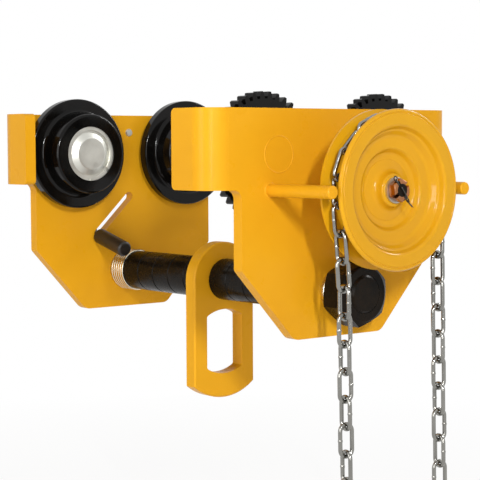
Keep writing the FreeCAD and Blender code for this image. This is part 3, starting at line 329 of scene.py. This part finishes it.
def turned_piece(name, corners):
    """A closed outline, turned round the hand wheel's axis. Each corner is a radius, a depth towards
    the front and an ease, in millimetres: a parabola that begins and ends ease away from the corner,
    with one more point before and after it on the straights."""
    corners = np.asarray(corners) * MILLIMETRE
    spots = corners[:, :2]
    ease = corners[:, 2:]
    before = np.roll(spots, 1, axis=0) - spots
    after = np.roll(spots, -1, axis=0) - spots
    before = before / np.linalg.norm(before, axis=1, keepdims=True)
    after = after / np.linalg.norm(after, axis=1, keepdims=True)
    start = spots + ease * before
    stop = spots + ease * after
    share = np.linspace(0.0, 1.0, CORNER_POINTS)[:, None, None]
    lead_in = start + CORNER_LEAD * ease * before
    lead_out = stop + CORNER_LEAD * ease * after
    outline = np.concatenate([lead_in[None], parabola(start, spots, stop, share), lead_out[None]])
    outline = outline.transpose(1, 0, 2).reshape(-1, 2)
    around = full_turn(TURN_POINTS)[None, :]
    x = wheel_middle[0] + outline[:, :1] * np.cos(around)
    y = wheel_middle[1] - outline[:, 1:]
    z = wheel_middle[2] + outline[:, :1] * np.sin(around)
    return smooth_piece(name, grid_points(x, y, z), True, True, wheel_yellow, "hand_drive")


DISC_BACK = [(16.05, -7.0, 0.3), (36.5, -7.0, 1.5), (37.9, -1.0, 1.0), (53.54, -1.0, 0.3)]
DISC_GROOVE = [(53.54, 3.0, 0.5), (60.54, 3.0, 0.6), (60.54, 8.7, 1.0), (67.5, 8.7, 2.0)]
ROLLED_RIM = [(73.0, 10.0, 0.8), (74.0, 11.6, 0.6), (74.0, 13.2, 0.7), (72.9, 15.0, 0.8),
              (71.4, 15.3, 0.35), (70.9, 14.6, 0.25), (70.3, 14.6, 0.2), (69.8, 15.25, 0.3)]
DISH = [(59.4, 15.3, 1.2), (57.6, 13.6, 0.8), (55.6, 9.2, 1.0), (53.8, 8.3, 0.7),
        (50.2, 4.0, 1.2), (47.5, 3.0, 1.2)]
WEB = [(38.4, 3.0, 1.0), (36.9, 1.6, 0.8), (34.4, -2.4, 1.2), (31.8, -3.4, 1.0), (16.05, -5.2, 0.3)]
front_disc = turned_piece("front_disc_pressed", DISC_BACK + DISC_GROOVE + ROLLED_RIM + DISH + WEB)
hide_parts("hand_wheel_front_disc")

HUB_OUTLINE = [(10.05, -20.0, 0.4), (16.0, -20.0, 0.6), (16.0, -5.6, 0.2), (28.2, -4.2, 0.25),
               (28.2, -3.5, 0.25), (16.9, -1.2, 4.6), (15.4, 5.6, 0.8), (14.2, 6.5, 0.5),
               (10.05, 6.5, 0.4)]
flared_hub = turned_piece("flared_hub", HUB_OUTLINE)
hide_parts("hand_wheel_hub")


# Drive bearing: a coated tube, welded to the plate, holds a flanged bronze bush for the shaft.
# Little of it shows behind the hand wheel; the drive shaft itself is blackened bar.

HOUSING_WELD_GAP = 0.0005
HOUSING_WELD_LEG = 0.0022
HOUSING_WELD_RIPPLE = 0.06


def foot_weld(name, solid, gap, leg, ripple):
    """A weld ring round the foot of a round solid that stands on the front plate."""
    low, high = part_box(solid)
    radius = (high[0] - low[0]) / 2 + gap
    weld_ring(name, end_middle(solid, 1), -1, radius, leg, ripple)


bush_bronze = bare_steel("bush_bronze", colour=(0.60, 0.40, 0.18), roughness=0.34, marks=400.0,
                         stretch=(1.0, 5.0, 1.0))
give_finish(plate_yellow, "drive_housing")
give_finish(bush_bronze, "drive_bush")
give_finish(shaft_black, "drive_shaft")
foot_weld("drive_housing_weld", "drive_housing", HOUSING_WELD_GAP, HOUSING_WELD_LEG,
          HOUSING_WELD_RIPPLE)


# Hub fastening: a plated washer, a castle nut passivated to a copper tone, and a dark split pin
# through the nut's slots. One leg of the pin is bent outwards and the other folded over the shaft.

nut_copper = bare_steel("nut_copper", colour=(0.40, 0.17, 0.075), roughness=0.22, marks=420.0)
pin_dark = bare_steel("pin_dark", colour=(0.075, 0.070, 0.063), roughness=0.20, marks=420.0,
                      relief=0.15)
give_finish(cap_zinc, "hub_washer")
give_finish(nut_copper, "castle_nut")
give_finish(pin_dark, "split_pin")

PIN_FORWARD = 15.7
PIN_LEAN_DEGREES = -35.0
SHANK_REACH = 12.6
SHANK_HALF_THICK = 1.15
LEG_HALF_THICK = 0.65
EYE_PLACE = 13.2
EYE_RADIUS = 1.9
LONG_LEG = ((0.1, -8.0), (0.1, -13.0), (4.2, -20.0))
FOLD_OUT = ((-0.3, -8.0), (-0.3, -13.6), (1.2, -13.6))
FOLD_ROUND = ((1.2, -13.6), (2.9, -13.6), (2.8, -9.0))
FOLD_BACK = ((2.8, -9.0), (2.7, -3.0), (2.2, 4.5))
BEND_POINTS = 9
WIRE_POINTS = 14
EYE_POINTS = 28
POLE_GAP = 1e-6


def on_the_pin(across, forward, along):
    """Points in metres, from millimetres across the pin, forwards and along it from its middle."""
    lean = math.radians(PIN_LEAN_DEGREES)
    x = wheel_middle[0] + MILLIMETRE * (across * math.cos(lean) + along * math.sin(lean))
    y = wheel_middle[1] - MILLIMETRE * (PIN_FORWARD + forward)
    z = wheel_middle[2] + MILLIMETRE * (along * math.cos(lean) - across * math.sin(lean))
    return grid_points(x, y, z)


def bend(start, pull, stop):
    """The parabola between two (forward, along) places of a wire."""
    share = np.linspace(0.0, 1.0, BEND_POINTS)[:, None]
    return parabola(np.array(start), np.array(pull), np.array(stop), share)


def bent_wire(name, path, half_thick):
    """Round wire whose middle follows (forward, along) places: a circle carried along them, square
    to the path and drawn in to a point at both ends, where the points are welded."""
    heading = np.gradient(path, axis=0)
    heading = heading / np.linalg.norm(heading, axis=1, keepdims=True)
    thick = np.full((len(path), 1), half_thick)
    thick[[0, -1]] = 0.0
    turn = full_turn(WIRE_POINTS)[None, :]
    forward = path[:, :1] + thick * np.cos(turn) * heading[:, 1:]
    along = path[:, 1:] - thick * np.cos(turn) * heading[:, :1]
    wire = smooth_piece(name, on_the_pin(thick * np.sin(turn), forward, along), False, True,
                        pin_dark, "hand_drive")
    wire.modifiers.new("poles", "WELD").merge_threshold = POLE_GAP
    return wire


shank = bent_wire("pin_shank", bend((0.0, SHANK_REACH), (0.0, 0.0), (0.0, -SHANK_REACH)),
                  SHANK_HALF_THICK)
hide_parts("split_pin")
bent_wire("pin_long_leg", bend(*LONG_LEG), LEG_HALF_THICK)
folded_path = np.concatenate([bend(*FOLD_OUT), bend(*FOLD_ROUND)[1:], bend(*FOLD_BACK)[1:]])
bent_wire("pin_folded_leg", folded_path, LEG_HALF_THICK)

# The eye is a circle of wire carried round a small ring in the pin's own plane
ring_turn = full_turn(EYE_POINTS)[:, None]
wire_turn = full_turn(WIRE_POINTS)[None, :]
eye_reach = EYE_RADIUS + LEG_HALF_THICK * np.cos(wire_turn)
eye_points = on_the_pin(eye_reach * np.cos(ring_turn), -LEG_HALF_THICK * np.sin(wire_turn),
                        EYE_PLACE + eye_reach * np.sin(ring_turn))
smooth_piece("pin_eye", eye_points, True, True, pin_dark, "hand_drive")


# Chain guides: round bar, cut square and welded to the front plate on each side of the hand wheel.
# A small, smooth fillet of weld runs round the foot of each rod, under the same yellow coat.

ROD_WELD_GAP = 0.0003
ROD_WELD_LEG = 0.0011
ROD_WELD_RIPPLE = 0.03

for hand in ("left", "right"):
    rod = f"guide_rod_{hand}"
    give_finish(plate_yellow, rod)
    foot_weld(f"guide_rod_weld_{hand}", rod, ROD_WELD_GAP, ROD_WELD_LEG, ROD_WELD_RIPPLE)


# Hand chain: electrically welded 4 mm wire links, zinc plated and barrel polished.
# The butt weld leaves a small swelling in the middle of one straight side of a link, which is
# shown on the links over the wheel and in both falls.

chain_zinc = bare_steel("chain_zinc", colour=(0.29, 0.285, 0.264), roughness=0.12, marks=260.0,
                        relief=0.05)
give_finish(chain_zinc, "chain_on_wheel", "chain_left_fall", "chain_right_fall", "chain_bight")

CHAIN_PITCH = 0.025
WIRE_RADIUS = 0.002
SIDE_OFFSET = 0.0064
SIDE_CYCLE = 4
SWELL_HALF_LENGTH = 0.0019
SWELL_ROOT = 0.97
SWELL_RISE = 0.19
SWELL_POINTS = 9
SWELL_ROUND = 16
LINKS_ON_WHEEL = 9
LINK_TURN = 22.5
FALL_LINKS = 11
FALL_ANGLE = 271
SWING_LINKS = 3
SWING_ANGLE = 275
TWIST_PER_LINK = 0.9


def link_welds(name, start, angles, flat_first, twist, sides):
    """A swelling on one side of each link of a run. The links follow each other from start, one
    pitch each, at angles in degrees above the level, each twisted against the one before. The
    swelling is a barrel round the wire, whose radius rises as a squared cosine."""
    angles = np.radians(np.asarray(angles, dtype=float))
    count = len(angles)
    steps = CHAIN_PITCH * np.stack([np.cos(angles), np.zeros(count), np.sin(angles)], axis=-1)
    middles = np.asarray(start) + np.cumsum(steps, axis=0) - steps / 2
    number = np.arange(count)
    flat = (number % 2 == 0) == flat_first
    spin = np.where(flat, np.pi / 2, 0.0) + np.radians(twist) * (number + 1)
    along = np.linspace(-1.0, 1.0, SWELL_POINTS)[:, None]
    round_wire = full_turn(SWELL_ROUND)[None, :]
    thick = WIRE_RADIUS * (SWELL_ROOT + SWELL_RISE * np.cos(along * np.pi / 2) ** 2)
    side = np.where(number % SIDE_CYCLE < SIDE_CYCLE / 2, sides, -sides)[:, None, None]
    local_x = side * SIDE_OFFSET + (thick * np.cos(round_wire))[None]
    local_y = np.broadcast_to(thick * np.sin(round_wire), local_x.shape)
    local_z = np.broadcast_to(SWELL_HALF_LENGTH * along, local_x.shape)
    spin = spin[:, None, None]
    lean = (np.pi / 2 - angles)[:, None, None]
    turned_x = local_x * np.cos(spin) - local_y * np.sin(spin)
    turned_y = local_x * np.sin(spin) + local_y * np.cos(spin)
    points = np.stack([turned_x * np.cos(lean) + local_z * np.sin(lean), turned_y,
                       local_z * np.cos(lean) - turned_x * np.sin(lean)], axis=-1)
    points += middles[:, None, None, :]
    smooth_piece(name, points, True, True, chain_zinc, "frame")


chain_radius = CHAIN_PITCH / 2 / math.tan(math.radians(LINK_TURN / 2))
right_end = (hub_x + chain_radius, chain_y, hub_z - CHAIN_PITCH / 2)
left_end = (hub_x - chain_radius, chain_y, hub_z - CHAIN_PITCH / 2)
wheel_angles = 90 + LINK_TURN * np.arange(LINKS_ON_WHEEL)
left_angles = [SWING_ANGLE] * SWING_LINKS + [FALL_ANGLE] * (FALL_LINKS - SWING_LINKS)
right_angles = [FALL_ANGLE] * FALL_LINKS
link_welds("chain_welds_on_wheel", right_end, wheel_angles, True, 0.0, 1)
link_welds("chain_welds_left_fall", left_end, left_angles, False, TWIST_PER_LINK, 1)
link_welds("chain_welds_right_fall", right_end, right_angles, False, TWIST_PER_LINK, -1)


# Captive pin: a blackened pin with a soft moulded grip pushed over its inner end.
# It slides in the plain plate's slanted slot and is kept in by its head.

GRIP_DEEP = (0.008, 0.006, 0.004)
GRIP_BROWN = (0.020, 0.012, 0.007)

grip_black, _ = mottled_finish(
    "grip_black", drift=(80.0, 4.0), tones=((0.3, GRIP_DEEP), (0.75, GRIP_BROWN)),
    patches=(160.0, 3.0), roughness=(0.38, 0.52), grain=(900.0, 3.0), height=0.00005, strength=0.4)
give_finish(pin_dark, "latch_pin")
give_finish(grip_black, "latch_grip")


# Rivet: a plated steel rivet with a domed head, high on the plain plate.
# It was closed cold in a drilled hole, after the plate was coated.

give_finish(cap_zinc, "plate_rivet")


# Studio floor: a pale painted board below the chain, large enough to fill every view.
# It fades into the white surround with distance, and keeps the shadow near the trolley.

WHITE = (1.0, 1.0, 1.0, 1.0)
FLOOR_GREY = (0.86, 0.86, 0.86, 1.0)
FLOOR_ROUGHNESS = 0.9
FLOOR_GAP = 0.02
FLOOR_HALF = 6.0
FADE_NEAR = 0.3
FADE_FAR = 1.1
FADE_LEAST = 0.86


def background_ray(owner):
    """One where a ray comes from the camera, a reflection or a pane of glass, nought elsewhere."""
    ray = add_node(owner, "ShaderNodeLightPath")
    links = owner.node_tree.links
    total = ray.outputs["Is Camera Ray"]
    for kind in ("Is Glossy Ray", "Is Transmission Ray"):
        larger = add_node(owner, "ShaderNodeMath", operation="MAXIMUM")
        links.new(total, larger.inputs[0])
        links.new(ray.outputs[kind], larger.inputs[1])
        total = larger.outputs["Value"]
    return total


floor_pale, floor_shader = new_finish("floor_pale")
floor_links = floor_pale.node_tree.links
floor_shader.inputs["Base Color"].default_value = FLOOR_GREY
floor_shader.inputs["Roughness"].default_value = FLOOR_ROUGHNESS
glow = add_node(floor_pale, "ShaderNodeEmission", {"Color": WHITE, "Strength": 1.0})
place = add_node(floor_pale, "ShaderNodeTexCoord")
away = add_node(floor_pale, "ShaderNodeVectorMath", operation="LENGTH")
floor_links.new(place.outputs["Object"], away.inputs[0])
fade = add_node(floor_pale, "ShaderNodeMapRange",
                {"From Min": FADE_NEAR, "From Max": FADE_FAR, "To Min": FADE_LEAST, "To Max": 1.0})
floor_links.new(away.outputs["Value"], fade.inputs["Value"])
share = add_node(floor_pale, "ShaderNodeMath", operation="MULTIPLY")
floor_links.new(background_ray(floor_pale), share.inputs[0])
floor_links.new(fade.outputs["Result"], share.inputs[1])
blend = add_node(floor_pale, "ShaderNodeMixShader")
floor_links.new(share.outputs["Value"], blend.inputs["Fac"])
floor_links.new(floor_shader.outputs["BSDF"], blend.inputs[1])
floor_links.new(glow.outputs["Emission"], blend.inputs[2])
floor_end = floor_pale.node_tree.nodes["Material Output"]
floor_links.new(blend.outputs["Shader"], floor_end.inputs["Surface"])

floor_corners = FLOOR_HALF * np.array([(-1, -1), (1, -1), (1, 1), (-1, 1)])
floor_level = np.full((4, 1), cad_box[0][2] - FLOOR_GAP)
floor_mesh = bpy.data.meshes.new("floor")
floor_mesh.from_pydata(np.hstack([floor_corners, floor_level]), [], [(0, 1, 2, 3)])
floor_mesh.materials.append(floor_pale)
floor = bpy.data.objects.new("floor", floor_mesh)
bpy.context.scene.collection.objects.link(floor)


# Surround and lamps: a white surround that lights the trolley softly and a little warmly.
# A small key lamp front left throws the shadows, two large lamps on the left fill them, and a
# narrow one on the right lights the edges.

SKY_LIGHT = 0.33
SKY_WARM = (1.0, 0.90, 0.78, 1.0)

world = bpy.data.worlds.new("surround")
bpy.context.scene.world = world
world.use_nodes = True
sky_links = world.node_tree.links
sky = world.node_tree.nodes["Background"]
sky_white = background_ray(world)
sky_strength = add_node(world, "ShaderNodeMapRange", {"To Min": SKY_LIGHT, "To Max": 1.0})
sky_links.new(sky_white, sky_strength.inputs["Value"])
sky_links.new(sky_strength.outputs["Result"], sky.inputs["Strength"])
sky_colour = add_node(world, "ShaderNodeMixRGB", {"Color1": SKY_WARM, "Color2": WHITE})
sky_links.new(sky_white, sky_colour.inputs["Fac"])
sky_links.new(sky_colour.outputs["Color"], sky.inputs["Color"])


def soft_lamp(name, spot, target, width, height, watts):
    """An oblong lamp that faces a point."""
    lamp = bpy.data.lights.new(name, "AREA")
    lamp.shape = "RECTANGLE"
    lamp.size = width
    lamp.size_y = height
    lamp.energy = watts
    holder = bpy.data.objects.new(name, lamp)
    bpy.context.scene.collection.objects.link(holder)
    holder.location = spot
    holder.rotation_euler = (Vector(target) - Vector(spot)).to_track_quat("-Z", "Y").to_euler()


soft_lamp("key", spot=(-0.90, -1.91, 0.68), target=(0.0, -0.1, -0.05),
          width=0.07, height=0.3, watts=24.0)
soft_lamp("fill", spot=(-2.2, -2.2, 0.32), target=(0.0, 0.0, 0.32),
          width=0.6, height=1.3, watts=26.0)
soft_lamp("side", spot=(-1.7, -0.16, 0.25), target=(0.0, 0.1, 0.0),
          width=0.5, height=1.0, watts=9.0)
soft_lamp("edge", spot=(1.5, -0.35, 1.0), target=(0.0, -0.25, 0.0),
          width=0.2, height=0.6, watts=10.0)


# Camera: a long lens on a stand front left of the trolley, a little above the load shaft.
# Its place and turn are those of the photograph.

SENSOR_WIDTH = 36.0
LENS_LENGTH = 112.05
CAMERA_PLACE = (-0.9632, -1.2323, 0.0535)
CAMERA_DEGREES = (-38.8, -3.67, -0.28)

lens = bpy.data.cameras.new("camera")
lens.sensor_width = SENSOR_WIDTH
lens.lens = LENS_LENGTH
camera = bpy.data.objects.new("camera", lens)
bpy.context.scene.collection.objects.link(camera)
yaw, pitch, roll = (math.radians(angle) for angle in CAMERA_DEGREES)
turned = Matrix.Rotation(yaw, 4, "Z")
tipped = Matrix.Rotation(math.pi / 2 + pitch, 4, "X")
rolled = Matrix.Rotation(roll, 4, "Z")
aim = turned @ tipped @ rolled
camera.matrix_world = Matrix.Translation(CAMERA_PLACE) @ aim
bpy.context.scene.camera = camera
bpy.context.scene.view_settings.view_transform = "Standard"
